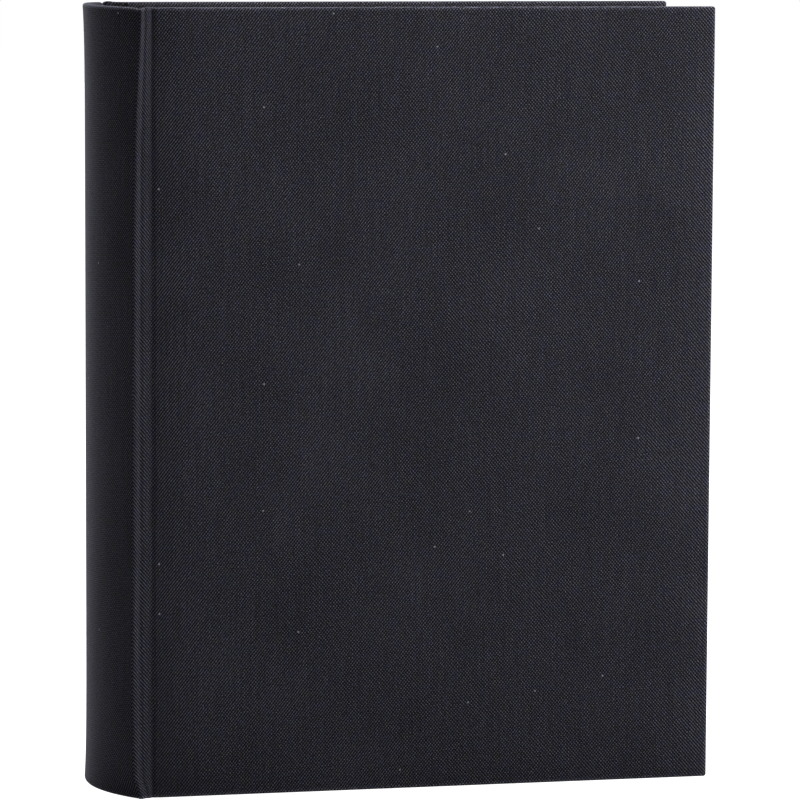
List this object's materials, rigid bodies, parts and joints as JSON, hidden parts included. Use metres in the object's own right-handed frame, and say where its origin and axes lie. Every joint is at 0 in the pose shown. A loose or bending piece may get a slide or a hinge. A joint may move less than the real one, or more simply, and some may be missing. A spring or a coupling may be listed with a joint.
{
  "type": "photo album",
  "caption": "Book-bound photo album with dark cloth covers on hinged boards, a rounded hollow spine, and card leaves with glassine sheets that fan out as the covers open.",
  "frame": {"origin": "on the surface the album stands on, under the middle of its outline", "axes": "+Z from tail to head, +X from the spine to the fore-edge, front cover facing -Y"},
  "size_m": [0.255, 0.0784, 0.32],
  "materials": {
    "cloth": "matte",
    "greyboard": "matte",
    "endpaper": "matte",
    "leaf_card": "matte",
    "glassine": "satin",
    "mull": "matte",
    "kraft_paper": "matte",
    "linen_thread": "matte",
    "band_cotton": "matte"
  },
  "bodies": {
    "spine_and_block": {"spine_cloth": "cloth", "spine_inlay": "greyboard", "guard_block": "leaf_card", "sewing_thread": "linen_thread", "mull_lining": "mull", "spine_lining": "kraft_paper", "tail_band": "band_cotton", "head_band": "band_cotton", "front_joint_cloth": "cloth", "front_joint_paper": "endpaper", "back_joint_cloth": "cloth", "back_joint_paper": "endpaper"},
    "front_cover": {"front_board": "greyboard", "front_cover_cloth": "cloth", "front_pastedown": "endpaper"},
    "front_flyleaf": {"front_flyleaf": "endpaper"},
    "back_cover": {"back_board": "greyboard", "back_cover_cloth": "cloth", "back_pastedown": "endpaper"},
    "back_flyleaf": {"back_flyleaf": "endpaper"},
    "section_01": {"leaves_01": "leaf_card", "glassine_01": "glassine"},
    "section_02": {"leaves_02": "leaf_card", "glassine_02": "glassine"},
    "section_03": {"leaves_03": "leaf_card", "glassine_03": "glassine"},
    "section_04": {"leaves_04": "leaf_card", "glassine_04": "glassine"},
    "section_05": {"leaves_05": "leaf_card", "glassine_05": "glassine"},
    "section_06": {"leaves_06": "leaf_card", "glassine_06": "glassine"},
    "section_07": {"leaves_07": "leaf_card", "glassine_07": "glassine"},
    "section_08": {"leaves_08": "leaf_card", "glassine_08": "glassine"},
    "section_09": {"leaves_09": "leaf_card", "glassine_09": "glassine"},
    "section_10": {"leaves_10": "leaf_card", "glassine_10": "glassine"},
    "section_11": {"leaves_11": "leaf_card", "glassine_11": "glassine"},
    "section_12": {"leaves_12": "leaf_card", "glassine_12": "glassine"},
    "section_13": {"leaves_13": "leaf_card", "glassine_13": "glassine"},
    "section_14": {"leaves_14": "leaf_card", "glassine_14": "glassine"},
    "section_15": {"leaves_15": "leaf_card", "glassine_15": "glassine"},
    "section_16": {"leaves_16": "leaf_card", "glassine_16": "glassine"},
    "section_17": {"leaves_17": "leaf_card", "glassine_17": "glassine"},
    "section_18": {"leaves_18": "leaf_card", "glassine_18": "glassine"},
    "section_19": {"leaves_19": "leaf_card", "glassine_19": "glassine"},
    "section_20": {"leaves_20": "leaf_card", "glassine_20": "glassine"}
  },
  "joints": [
    {"name": "front_cover_hinge", "type": "hinge", "parent": "spine_and_block", "child": "front_cover", "pos_m": [-0.1088, -0.0388, 0], "axis": [0, 0, -1], "range_deg": [0, 180], "deforming": ["front_joint_cloth", "front_joint_paper"]},
    {"name": "back_cover_hinge", "type": "hinge", "parent": "spine_and_block", "child": "back_cover", "pos_m": [-0.1088, 0.0388, 0], "axis": [0, 0, 1], "range_deg": [0, 180], "deforming": ["back_joint_cloth", "back_joint_paper"]},
    {"name": "front_flyleaf_hinge", "type": "hinge", "parent": "spine_and_block", "child": "front_flyleaf", "pos_m": [-0.0978, -0.03385, 0], "axis": [0, 0, -1], "range_deg": [0, 108]},
    {"name": "back_flyleaf_hinge", "type": "hinge", "parent": "spine_and_block", "child": "back_flyleaf", "pos_m": [-0.0978, 0.03385, 0], "axis": [0, 0, 1], "range_deg": [0, 108]},
    {"name": "section_01_hinge", "type": "hinge", "parent": "spine_and_block", "child": "section_01", "pos_m": [-0.0898, -0.03182, 0], "axis": [0, 0, -1], "range_deg": [0, 36]},
    {"name": "section_02_hinge", "type": "hinge", "parent": "spine_and_block", "child": "section_02", "pos_m": [-0.0898, -0.02848, 0], "axis": [0, 0, -1], "range_deg": [0, 32.4]},
    {"name": "section_03_hinge", "type": "hinge", "parent": "spine_and_block", "child": "section_03", "pos_m": [-0.0898, -0.02513, 0], "axis": [0, 0, -1], "range_deg": [0, 28.8]},
    {"name": "section_04_hinge", "type": "hinge", "parent": "spine_and_block", "child": "section_04", "pos_m": [-0.0898, -0.02177, 0], "axis": [0, 0, -1], "range_deg": [0, 25.2]},
    {"name": "section_05_hinge", "type": "hinge", "parent": "spine_and_block", "child": "section_05", "pos_m": [-0.0898, -0.01843, 0], "axis": [0, 0, -1], "range_deg": [0, 21.6]},
    {"name": "section_06_hinge", "type": "hinge", "parent": "spine_and_block", "child": "section_06", "pos_m": [-0.0898, -0.01507, 0], "axis": [0, 0, -1], "range_deg": [0, 18]},
    {"name": "section_07_hinge", "type": "hinge", "parent": "spine_and_block", "child": "section_07", "pos_m": [-0.0898, -0.01172, 0], "axis": [0, 0, -1], "range_deg": [0, 14.4]},
    {"name": "section_08_hinge", "type": "hinge", "parent": "spine_and_block", "child": "section_08", "pos_m": [-0.0898, -0.00838, 0], "axis": [0, 0, -1], "range_deg": [0, 10.8]},
    {"name": "section_09_hinge", "type": "hinge", "parent": "spine_and_block", "child": "section_09", "pos_m": [-0.0898, -0.00502, 0], "axis": [0, 0, -1], "range_deg": [0, 7.2]},
    {"name": "section_10_hinge", "type": "hinge", "parent": "spine_and_block", "child": "section_10", "pos_m": [-0.0898, -0.00168, 0], "axis": [0, 0, -1], "range_deg": [0, 3.6]},
    {"name": "section_11_hinge", "type": "hinge", "parent": "spine_and_block", "child": "section_11", "pos_m": [-0.0898, 0.00168, 0], "axis": [0, 0, 1], "range_deg": [0, 3.6]},
    {"name": "section_12_hinge", "type": "hinge", "parent": "spine_and_block", "child": "section_12", "pos_m": [-0.0898, 0.00502, 0], "axis": [0, 0, 1], "range_deg": [0, 7.2]},
    {"name": "section_13_hinge", "type": "hinge", "parent": "spine_and_block", "child": "section_13", "pos_m": [-0.0898, 0.00838, 0], "axis": [0, 0, 1], "range_deg": [0, 10.8]},
    {"name": "section_14_hinge", "type": "hinge", "parent": "spine_and_block", "child": "section_14", "pos_m": [-0.0898, 0.01172, 0], "axis": [0, 0, 1], "range_deg": [0, 14.4]},
    {"name": "section_15_hinge", "type": "hinge", "parent": "spine_and_block", "child": "section_15", "pos_m": [-0.0898, 0.01507, 0], "axis": [0, 0, 1], "range_deg": [0, 18]},
    {"name": "section_16_hinge", "type": "hinge", "parent": "spine_and_block", "child": "section_16", "pos_m": [-0.0898, 0.01843, 0], "axis": [0, 0, 1], "range_deg": [0, 21.6]},
    {"name": "section_17_hinge", "type": "hinge", "parent": "spine_and_block", "child": "section_17", "pos_m": [-0.0898, 0.02177, 0], "axis": [0, 0, 1], "range_deg": [0, 25.2]},
    {"name": "section_18_hinge", "type": "hinge", "parent": "spine_and_block", "child": "section_18", "pos_m": [-0.0898, 0.02513, 0], "axis": [0, 0, 1], "range_deg": [0, 28.8]},
    {"name": "section_19_hinge", "type": "hinge", "parent": "spine_and_block", "child": "section_19", "pos_m": [-0.0898, 0.02848, 0], "axis": [0, 0, 1], "range_deg": [0, 32.4]},
    {"name": "section_20_hinge", "type": "hinge", "parent": "spine_and_block", "child": "section_20", "pos_m": [-0.0898, 0.03182, 0], "axis": [0, 0, 1], "range_deg": [0, 36]}
  ],
  "couplings": [
    {"joint": "front_flyleaf_hinge", "follows": "front_cover_hinge", "ratio": 0.6},
    {"joint": "back_flyleaf_hinge", "follows": "back_cover_hinge", "ratio": 0.6},
    {"joint": "section_01_hinge", "follows": "front_cover_hinge", "ratio": 0.2},
    {"joint": "section_02_hinge", "follows": "front_cover_hinge", "ratio": 0.18},
    {"joint": "section_03_hinge", "follows": "front_cover_hinge", "ratio": 0.16},
    {"joint": "section_04_hinge", "follows": "front_cover_hinge", "ratio": 0.14},
    {"joint": "section_05_hinge", "follows": "front_cover_hinge", "ratio": 0.12},
    {"joint": "section_06_hinge", "follows": "front_cover_hinge", "ratio": 0.1},
    {"joint": "section_07_hinge", "follows": "front_cover_hinge", "ratio": 0.08},
    {"joint": "section_08_hinge", "follows": "front_cover_hinge", "ratio": 0.06},
    {"joint": "section_09_hinge", "follows": "front_cover_hinge", "ratio": 0.04},
    {"joint": "section_10_hinge", "follows": "front_cover_hinge", "ratio": 0.02},
    {"joint": "section_11_hinge", "follows": "back_cover_hinge", "ratio": 0.02},
    {"joint": "section_12_hinge", "follows": "back_cover_hinge", "ratio": 0.04},
    {"joint": "section_13_hinge", "follows": "back_cover_hinge", "ratio": 0.06},
    {"joint": "section_14_hinge", "follows": "back_cover_hinge", "ratio": 0.08},
    {"joint": "section_15_hinge", "follows": "back_cover_hinge", "ratio": 0.1},
    {"joint": "section_16_hinge", "follows": "back_cover_hinge", "ratio": 0.12},
    {"joint": "section_17_hinge", "follows": "back_cover_hinge", "ratio": 0.14},
    {"joint": "section_18_hinge", "follows": "back_cover_hinge", "ratio": 0.16},
    {"joint": "section_19_hinge", "follows": "back_cover_hinge", "ratio": 0.18},
    {"joint": "section_20_hinge", "follows": "back_cover_hinge", "ratio": 0.2}
  ]
}
